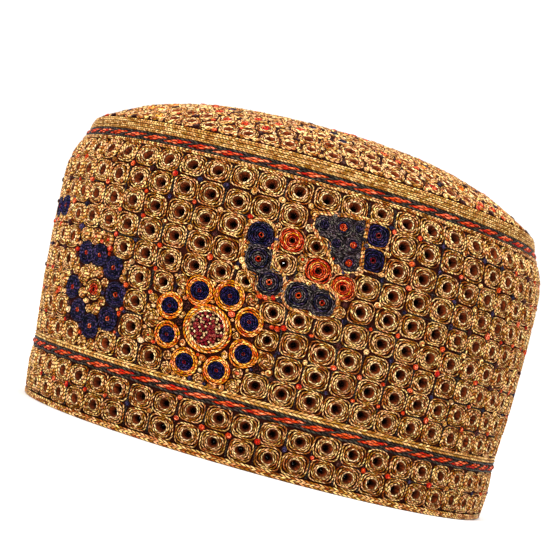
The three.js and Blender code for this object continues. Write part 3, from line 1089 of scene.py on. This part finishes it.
class CAP_OT_band_cloth(bpy.types.Operator):
    """Cuts the band's cloth with an eyelet in the middle of each rosette"""

    bl_idname = "cap.band_cloth"
    bl_label = "Band cloth"

    def execute(self, context):
        lay = layout()
        sizes = lay.sizes
        figures = [(along, up) for kind, radius, along, up in lay.figures]
        small = [sizes.eyelet * EYELET_SHARE[kind] for kind, radius, along, up in lay.figures]
        middles = wrap(lay, np.vstack([lay.grid[:, :2], figures]))
        radius = np.concatenate([sizes.eyelet * np.clip(lay.grid[:, 3] / CELL, 0.7, 1.05), small])
        sew_cloth("band_cloth", lay.band, band_border(lay), middles, radius, ["side_band"])
        return {"FINISHED"}


class CAP_OT_crown_cloth(bpy.types.Operator):
    """Cuts the crown's cloth with its eyelets"""

    bl_idname = "cap.crown_cloth"
    bl_label = "Crown cloth"

    def execute(self, context):
        lay = layout()
        a, b = lay.crown.spread
        angles = np.linspace(0, 2 * math.pi, lay.sizes.columns * 5, endpoint=False)
        reach = lay.face.top_run - lay.face.seam_run - SEAM_GAP
        border = reach * np.column_stack([a * np.cos(angles), b * np.sin(angles)])
        radius = lay.rounds[:, 2] / CROWN_CELL * lay.sizes.eyelet * CROWN_EYELET
        sew_cloth("crown_cloth", lay.crown, border, lay.rounds[:, :2], radius, ["crown"])
        return {"FINISHED"}


def lay_grid(keep, part):
    """Rosettes of the band's grid: the given threads of one of two parts of the columns."""
    lay = layout()
    skeins = {thread: Skein() for thread in keep}
    for along, up, wide, tall in lay.grid:
        seed = np.random.default_rng(int(along * 977 + up * 131) % 2**31)
        half_way = along > lay.face.girth / 2
        if part is None or half_way == part:
            half = (wide * ROSETTE_FILL[0], tall * ROSETTE_FILL[1])
            lay_rosette(skeins, lay.band, np.array([along, up]), half, GOLD_ROSETTE, seed, lay.sizes, keep)
    return skeins


class CAP_OT_band_rosettes(bpy.types.Operator):
    """Couches gold and ivory silk round the eyelets of the band"""

    bl_idname = "cap.band_rosettes"
    bl_label = "Band rosettes"

    def execute(self, context):
        make_pieces(lay_grid(("gold",), False), "band_{}_rings_back")
        make_pieces(lay_grid(("gold",), True), "band_{}_rings_front")
        make_pieces(lay_grid(("ivory",), None), "band_{}_rings")
        return {"FINISHED"}


class CAP_OT_crown_rosettes(bpy.types.Operator):
    """Couches gold and ivory silk round the eyelets of the crown, with a few coloured centres"""

    bl_idname = "cap.crown_rosettes"
    bl_label = "Crown rosettes"

    def execute(self, context):
        lay = layout()
        random = np.random.default_rng(11)
        skeins = {thread: Skein() for thread in ("gold", "ivory", "red", "orange", "navy")}
        flatter = {"sink": 0.42, "slack": 1.5}  # the crown's rings lie deeper and are more loosely twisted
        for x, y, radius in lay.rounds:
            centre, half = np.array([x, y]), (radius, radius)
            lay_rosette(skeins, lay.crown, centre, half, CROWN_ROSETTE, random, lay.sizes, **flatter)
            chance = random.uniform()
            rim = np.hypot(*(centre / lay.crown.spread)) > lay.rim_reach
            if chance < (COLOURED[0] if rim else COLOURED[1]):
                thread = random.choice(["red", "orange", "navy"], p=[0.55, 0.2, 0.25])
                inner = ((thread, 0.26, 1.3, 0.0, 8), (thread, 0.45, 1.2, 0.0, 12))
                lay_rosette(skeins, lay.crown, centre, half, inner, random, lay.sizes, **flatter)
        make_pieces(skeins, "crown_{}_rings")
        return {"FINISHED"}


def round_chain(points, radius):
    """A closed path of flat points round a chain of points."""
    chain = spline(points, 8)
    ahead = np.gradient(chain, axis=0)
    ahead /= np.hypot(*ahead.T)[:, None]
    side = np.column_stack([ahead[:, 1], -ahead[:, 0]]) * radius
    turn = np.linspace(0, math.pi, 9)[1:-1, None]
    last = chain[-1] + side[-1] * np.cos(turn) + ahead[-1] * radius * np.sin(turn)
    first = chain[0] - side[0] * np.cos(turn) - ahead[0] * radius * np.sin(turn)
    return np.vstack([chain + side, last, (chain - side)[::-1], first])


FIGURE_THREADS = ("gold", "ivory", "navy", "dark", "blue", "orange", "red", "maroon")
HATCH_GAP = 0.6  # between two rows of cord inside an outline
# Rings of cord round a great flower's heart: thread, and share of the flower's radius
HEART_RINGS = (("ivory", 1.06), ("orange", 1.16), ("gold", 1.27), ("orange", 1.38))
WEDGE_RINGS = ((0.0, 0.85), (0.7, 0.75))  # how far inside the wedge's corners each cord goes, and its width
CRESCENT_RINGS = ((5.2, 0.75), (5.75, 0.7))  # how far from the middle line each cord goes, and its width
CRESCENT_INSIDE = 5.0  # from the middle line, within which rows of cord fill a crescent


def hatch(skein, lay, outline, random):
    """Rows of cord that fill the inside of an outline beside its rosettes."""
    low, high = outline.min(axis=0), outline.max(axis=0)
    for up in np.arange(low[1] + HATCH_GAP / 2, high[1], HATCH_GAP):
        along = np.arange(low[0], high[0], 0.7)
        path = np.column_stack([along, up + random.normal(0, 0.1, len(along))])
        for part in spans(path, within(path, outline) & (lay.clearance(path)[0] > -0.8), 3):
            tone = random.uniform(0, 50)
            lay_cord(skein, lay.band, part, 0.7, 0.3, 1.2, tone, base=-0.1, section=THREE_SIDES)


class CAP_OT_figures(bpy.types.Operator):
    """Couches the navy, blue, orange and red rosettes of the figures"""

    bl_idname = "cap.figures"
    bl_label = "Figures"

    def execute(self, context):
        lay = layout()
        random = np.random.default_rng(23)
        twist = lay.sizes.twist
        skeins = {thread: Skein() for thread in FIGURE_THREADS}
        for kind, radius, along, up in lay.figures:
            recipe = FIGURE_ROSETTES[kind]
            lay_rosette(skeins, lay.band, np.array([along, up]), (radius, radius), recipe, random, lay.sizes)
        for along, up in lay.hearts:
            for thread, share in HEART_RINGS:
                reach = FLOWER_RADIUS * share
                path = circle((along, up), (reach, reach), 44, 0, wobble(random, 0.015))
                tone = random.uniform(0, 50)
                lay_cord(skeins[thread], lay.band, path, 0.74, 0.7, twist, tone, closed=True, slant=1.5)
        for turn in range(REPEATS):
            start = lay.front + lay.face.girth / REPEATS * turn
            corners = [(start + along, lay.face.run_at(height)) for along, height in WEDGE]
            corners = np.array([*corners, corners[0]])
            outward = corners - corners[:-1].mean(axis=0)
            outward /= np.hypot(*outward.T)[:, None]
            for inset, width in WEDGE_RINGS:
                ring = corners - outward * inset
                path = np.vstack([np.linspace(p, q, 8, endpoint=False) for p, q in zip(ring, ring[1:])])
                path += random.normal(0, 0.05, path.shape)
                lay_cord(skeins["gold"], lay.band, path, width, 0.85, twist, random.uniform(0, 50), closed=True)
            hatch(skeins["dark"], lay, corners[:-1], random)
            for chain in CRESCENTS:
                flat = [(start + along, lay.face.run_at(height)) for along, height in chain]
                for reach, width in CRESCENT_RINGS:
                    path = round_chain(flat, reach) + random.normal(0, 0.04, 2)
                    tone = random.uniform(0, 50)
                    lay_cord(skeins["gold"], lay.band, path, width, 0.85, twist, tone, closed=True, slant=2)
                hatch(skeins["dark"], lay, round_chain(flat, CRESCENT_INSIDE), random)
        for heart in lay.little_hearts:
            lay_rosette(skeins, lay.band, np.array(heart), LITTLE_HEART_HALF, LITTLE_ROSETTE, random, lay.sizes)
        make_pieces(skeins, "figure_{}_rings")
        return {"FINISHED"}


HEART_KNOTS = 74
GOLDEN_ANGLE = 2.39996  # spreads the knots evenly, as seeds lie in a flower


class CAP_OT_flower_hearts(bpy.types.Operator):
    """Fills the heart of each great flower with crimson and ivory knots"""

    bl_idname = "cap.flower_hearts"
    bl_label = "Flower hearts"

    def execute(self, context):
        lay = layout()
        random = np.random.default_rng(31)
        skeins = {"ivory": Skein(), "maroon": Skein()}
        for heart in lay.hearts:
            for k in range(HEART_KNOTS):
                reach = FLOWER_RADIUS * 0.97 * math.sqrt((k + 0.5) / HEART_KNOTS)
                angle = k * GOLDEN_ANGLE
                ahead = np.array([math.cos(angle), math.sin(angle)])
                spot = np.array(heart) + reach * ahead + random.normal(0, STRAY, 2)
                pale = random.uniform() < 0.42
                radius = random.uniform(0.42, 0.62) if pale else random.uniform(0.6, 0.85)
                knot(skeins["ivory" if pale else "maroon"], lay.band, spot, radius, random, 6)
        make_pieces(skeins, "flower_heart_{}_knots")
        return {"FINISHED"}


def spans(path, kept, least=5):
    """The unbroken stretches of a path where kept is true."""
    edges = np.flatnonzero(np.diff(np.concatenate([[False], kept, [False]]).astype(int)))
    for start, end in zip(edges[::2], edges[1::2]):
        if end - start >= least:
            yield path[start:end]


GRID_CORD = (0.42, 0.45, 1.0)  # width, height and twist
GRID_CLEAR = 0.9  # least gap from a grid cord to a figure
GRID_STRETCH = 8.7  # height of the stretches in which a cord between two columns shows or doesn't
BESIDE = (-0.2, 0.2)  # where the two cords between two columns lie


class CAP_OT_grid_cords(bpy.types.Operator):
    """Couches a fine cord between the rows and between the columns of eyelets"""

    bl_idname = "cap.grid_cords"
    bl_label = "Grid cords"

    def execute(self, context):
        lay = layout()
        random = np.random.default_rng(41)
        skein = Skein()
        girth = lay.face.girth
        count = 400
        along = np.linspace(0, girth, count, endpoint=False)
        for line in (*lay.brim_lines[1:-1], *lay.band_lines[1:-1]):
            sway = 0.1 * np.sin(along * 2 * math.pi / lay.pitch + random.uniform(0, 6))
            sway += random.normal(0, 0.04, count)
            path = np.column_stack([along, line + sway])
            stretch = np.floor(along / lay.pitch / 3 + random.uniform(0, 1)).astype(int)
            shown = np.isin(stretch, np.flatnonzero(random.uniform(size=40) < 0.45))
            for part in spans(path, (lay.clearance(path)[0] > GRID_CLEAR) & shown):
                lay_cord(skein, lay.band, part, *GRID_CORD, random.uniform(0, 50))
        for lines in (lay.brim_lines, lay.band_lines):
            for column in range(lay.sizes.columns):
                for side in BESIDE:
                    up = np.arange(lines[0] + 0.5, lines[-1] - 0.5, 1.35)
                    drift = side + random.normal(0, 0.05, len(up))
                    path = np.column_stack([column * lay.pitch + drift, up])
                    rows = (up // GRID_STRETCH + random.uniform(0, 1)).astype(int)
                    shown = np.isin(rows, np.flatnonzero(random.uniform(size=16) < 0.5))
                    for part in spans(path, (lay.clearance(path)[0] > GRID_CLEAR) & shown, 4):
                        lay_cord(skein, lay.band, part, *GRID_CORD, random.uniform(0, 50))
        make_pieces({"black": skein}, "grid_cords")
        return {"FINISHED"}


LEAST_COIL = 1.25  # a gap with a smaller radius gets a knot


class CAP_OT_knots(bpy.types.Operator):
    """Works knots where the cords cross, and fills what is left of the cloth with coils and knots"""

    bl_idname = "cap.knots"
    bl_label = "Knots"

    def execute(self, context):
        lay = layout()
        random = np.random.default_rng(53)
        skeins = {thread: Skein() for thread in ("red", "navy", "dark", "gold", "ivory", "seam")}
        for thread, radius, along, up in lay.knots:
            knot(skeins[thread], lay.band, np.array([along, up]), radius, random, tall=0.75)
        for sheet, fill, tall in ((lay.band, lay.band_fill, 1.0), (lay.crown, lay.crown_fill, 0.5)):
            for thread, radius, x, y in fill:
                spot = np.array([x, y])
                if radius < LEAST_COIL:
                    knot(skeins[thread], sheet, spot, radius * 1.12, random, 6, tall)
                    continue
                cord = lay.sizes.ring_cord
                reach = radius * 1.05
                while reach > cord * 1.2:
                    steps = max(8, round(reach * 5))
                    path = circle(spot, (reach - cord / 2, reach - cord / 2), steps, 0, wobble(random))
                    tone = random.uniform(0, 50)
                    lay_cord(
                        skeins[thread], sheet, path, cord * 1.1, cord * tall, lay.sizes.twist, tone, closed=True,
                        section=THREE_SIDES,
                    )
                    reach -= cord
                inner = "red" if random.uniform() < 0.2 else thread
                knot(skeins[inner], sheet, spot, max(reach, 0.5), random, 6, tall)
        make_pieces(skeins, "{}_knots")
        return {"FINISHED"}


PLAIT = 10.6  # length of one turn of the braid
CORD_STEPS, BRAID_STEPS = 460, 660
# Cords that lie in pairs: twist, and the share of the width from the middle to each cord
PAIRS = {"paired": (1.7, 0.31), "fine pair": (1.3, 0.26)}
BRAID = ((0.7, 0), (0.7, 0), (0.5, 1))  # each strand's share of the width, and its material
# Each couched cord of the two stacks: CAD node, thread, and how it is made.
STACKS = (
    ("lower_black_cord_bottom", "black", "twisted"),
    ("lower_red_braid", "red", "plaited"),
    ("lower_black_cord_top", "black", "twisted"),
    ("lower_gold_cord", "strip", "paired"),
    ("upper_gold_cord", "gold", "fine pair"),
    ("upper_black_cord_bottom", "black", "twisted"),
    ("upper_red_braid", "red", "plaited"),
    ("upper_black_cord_top", "black", "twisted"),
    ("shoulder_gold_cord_bottom", "strip", "fine pair"),
    ("shoulder_gold_cord_middle", "strip", "fine pair"),
    ("shoulder_gold_cord_top", "strip", "fine pair"),
)


class CAP_OT_stack_cords(bpy.types.Operator):
    """Couches the black, red and gold cords that run round the band"""

    bl_idname = "cap.stack_cords"
    bl_label = "Stack cords"

    def execute(self, context):
        lay = layout()
        girth = lay.face.girth
        turns = round(girth / PLAIT)
        random = np.random.default_rng(61)
        for node, thread, make in STACKS:
            low, high = (lay.face.run_at(corner.z / MM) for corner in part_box(node))
            middle, width = (low + high) / 2, high - low
            skein = Skein()
            materials = [thread_material(thread)]
            count = BRAID_STEPS if make == "plaited" else CORD_STEPS
            along = np.linspace(0, girth, count, endpoint=False)
            turned = along / girth * turns * 2 * math.pi
            if make == "twisted":
                sway = 0.16 * np.sin(turned) + random.normal(0, 0.03, count)
                path = np.column_stack([along, middle + sway])
                lay_cord(
                    skein, lay.band, path, width * 1.08, 0.75, 2.0, 3.0, closed=True, section=SIX_SIDES, slant=2
                )
            elif make in PAIRS:
                twist, spread = PAIRS[make]
                for side, slant in ((-1, 2), (1, -2)):
                    line = middle + side * width * spread
                    path = np.column_stack([along, line + random.normal(0, 0.03, count)])
                    tone = random.uniform(0, 50)
                    lay_cord(skein, lay.band, path, width * 0.6, 0.9, twist, tone, closed=True, slant=slant)
            else:
                materials += [thread_material("black")]
                for strand, (share, kind) in enumerate(BRAID):
                    swing = turned + strand * 2 * math.pi / 3
                    path = np.column_stack([along, middle + width * 0.4 * np.sin(swing)])
                    lay_cord(
                        skein, lay.band, path, width * share, 0.72, 2.4, 20.0 + strand, closed=True,
                        base=(0.12 + 0.36 * np.cos(swing))[:, None], slant=2, kind=kind,
                    )
            skein.piece(f"{node}_silk", materials, SLOTS.get(thread, "gold_thread"), [node])
        return {"FINISHED"}


# Section of the rolled edge, from its outer side round to its underside
ROLLED_EDGE = (
    (1, 0.14), (1, 0.86), (0.62, 0.96), (-0.45, 0.96), (-1, 0.76), (-1, 0.24), (-0.45, 0.01), (0.62, 0),
)
BINDING_STEPS = 500
WHIPPED_ROWS = ((0.24, 2), (0.52, -2), (0.8, 2))  # each row's share of the binding's height, and its slant


class CAP_OT_binding(bpy.types.Operator):
    """Rolls the edge of the mouth and whips it with gold silk, and closes the seam of the crown"""

    bl_idname = "cap.binding"
    bl_label = "Binding"

    def execute(self, context):
        lay = layout()
        sizes = lay.sizes
        girth = lay.face.girth
        tall, over = sizes.binding_height, sizes.binding_overhang
        thick = sizes.cloth + over * 1.8
        skein = Skein()
        along = np.linspace(0, girth, BINDING_STEPS, endpoint=False)
        path = np.column_stack([along, np.full(BINDING_STEPS, tall / 2)])
        lay_cord(
            skein, lay.band, path, tall, thick, 1.9, 5.0, closed=True, base=over - thick, section=ROLLED_EDGE,
            slant=3,
        )
        rolled = skein.points[0]
        rolled[:, 2] = np.maximum(rolled[:, 2], 0)
        rolled.reshape(BINDING_STEPS, len(ROLLED_EDGE), 3)[:, :2, 2] = 0  # the flat that the cap stands on
        random = np.random.default_rng(71)
        for share, slant in WHIPPED_ROWS:
            row = np.column_stack([along, tall * share + random.normal(0, 0.04, BINDING_STEPS)])
            tone = 7.0 + share
            lay_cord(skein, lay.band, row, 0.86, 0.62, 1.8, tone, closed=True, base=over - 0.3, slant=slant)
        skein.piece("binding_cords", [thread_material("gold")], "binding", ["rim_binding"])
        seam = Skein()
        path = np.column_stack([along, np.full(BINDING_STEPS, lay.face.seam_run)])
        lay_cord(seam, lay.band, path, 0.8, 0.7, 1.5, 8.0, closed=True, base=-0.45)
        seam.piece("crown_seam_stitches", [thread_material("seam")], "binding")
        return {"FINISHED"}


# Surface that the cap stands on: reach and rise of its rings, in metres
PAPER_RINGS = (
    (0.0, 0.0), (0.6, 0.0), (1.4, 0.0), (2.0, 0.02), (2.5, 0.14),
    (2.9, 0.42), (3.15, 0.85), (3.3, 1.5), (3.4, 3.2),
)
PAPER_SPOKES = 96
# Soft lamps: name, place and width in metres, and power in watts
LAMPS = (
    ("key", (-0.9, -1.5, 1.7), 0.7, 42.0),
    ("fill", (1.5, -1.3, 1.1), 1.2, 9.0),
    ("top", (0.1, 0.1, 2.2), 1.0, 37.0),
    ("back", (0.2, 1.8, 1.5), 1.4, 10.0),
)
LAMPS_AIM = (0, 0, 0.06)
SKY = 0.42  # strength of the white light from all round
CAMERA_PLACE = (-0.00457, -0.5641, 0.0486)
CAMERA_TILT, CAMERA_ROLL = 0.038, 0.272  # upwards, and round the line of sight, in radians
LENS, SENSOR = 89.39, 36.0  # in millimetres


class CAP_OT_stage(bpy.types.Operator):
    """Sets out a pale surface under soft light, and the camera of the photograph"""

    bl_idname = "cap.stage"
    bl_label = "Stage"

    def execute(self, context):
        scene = context.scene
        steps = PAPER_SPOKES
        points, quads = [], []
        for reach, rise in PAPER_RINGS:
            for k in range(steps):
                angle = 2 * math.pi * k / steps
                points.append((reach * math.cos(angle), reach * math.sin(angle), rise))
        for row in range(len(PAPER_RINGS) - 1):
            for k in range(steps):
                n = (k + 1) % steps
                quads.append((row * steps + k, row * steps + n, (row + 1) * steps + n, (row + 1) * steps + k))
        mesh = bpy.data.meshes.new("paper_sweep")
        mesh.from_pydata(points, [], quads)
        mesh.polygons.foreach_set("use_smooth", np.ones(len(quads), bool))
        paper, tree, surface = new_material("Matt white paper")
        surface.inputs["Base Color"].default_value = linear(0xFFFFFF)
        surface.inputs["Roughness"].default_value = 0.95
        surface.inputs["Specular IOR Level"].default_value = 0.1
        mesh.materials.append(paper)
        sweep = bpy.data.objects.new("paper_sweep", mesh)
        scene.collection.objects.link(sweep)
        for name, place, size, power in LAMPS:
            data = bpy.data.lights.new(f"{name}_softbox", "AREA")
            data.shape, data.size, data.energy = "DISK", size, power
            lamp = bpy.data.objects.new(f"{name}_softbox", data)
            lamp.location = place
            lamp.rotation_euler = (Vector(LAMPS_AIM) - Vector(place)).to_track_quat("-Z", "Y").to_euler()
            scene.collection.objects.link(lamp)
        world = bpy.data.worlds.new("Bright studio")
        world.use_nodes = True
        sky = world.node_tree.nodes["Background"]
        sky.inputs["Color"].default_value = linear(0xFFFFFF)
        sky.inputs["Strength"].default_value = SKY
        scene.world = world
        data = bpy.data.cameras.new("camera")
        data.lens, data.sensor_width = LENS, SENSOR
        camera = bpy.data.objects.new("camera", data)
        camera.location = CAMERA_PLACE
        tilt = Euler((math.pi / 2 + CAMERA_TILT, 0, 0)).to_matrix() @ Matrix.Rotation(CAMERA_ROLL, 3, "Z")
        camera.rotation_euler = tilt.to_euler()
        scene.collection.objects.link(camera)
        scene.camera = camera
        scene.view_settings.view_transform = "Standard"
        return {"FINISHED"}


class CAP_PT_panel(bpy.types.Panel):
    """Lists the pieces of the cap"""

    bl_idname = "CAP_PT_panel"
    bl_label = "Embroidered cap"
    bl_space_type = "VIEW_3D"
    bl_region_type = "UI"
    bl_category = "Cap"

    def draw(self, context):
        for operator in OPERATORS:
            self.layout.operator(operator.bl_idname)
        for group in (context.scene.cap_sizes, context.scene.cap_colours):
            for name in group.bl_rna.properties.keys():
                if name not in ("rna_type", "name"):
                    self.layout.prop(group, name)


OPERATORS = (
    CAP_OT_band_cloth,
    CAP_OT_crown_cloth,
    CAP_OT_band_rosettes,
    CAP_OT_crown_rosettes,
    CAP_OT_figures,
    CAP_OT_flower_hearts,
    CAP_OT_grid_cords,
    CAP_OT_knots,
    CAP_OT_stack_cords,
    CAP_OT_binding,
    CAP_OT_stage,
)
CLASSES = (CapSizes, CapColours, *OPERATORS, CAP_PT_panel)


def register():
    """Adds the sizes, the colours, the operators and the panel."""
    for made in CLASSES:
        bpy.utils.register_class(made)
    bpy.types.Scene.cap_sizes = bpy.props.PointerProperty(type=CapSizes)
    bpy.types.Scene.cap_colours = bpy.props.PointerProperty(type=CapColours)


def unregister():
    """Takes them away again."""
    del bpy.types.Scene.cap_sizes
    del bpy.types.Scene.cap_colours
    for made in reversed(CLASSES):
        bpy.utils.unregister_class(made)


def main():
    """Dresses the cap."""
    register()
    for operator in OPERATORS:
        family, name = operator.bl_idname.split(".")
        getattr(getattr(bpy.ops, family), name)()


if __name__ == "__main__":
    main()
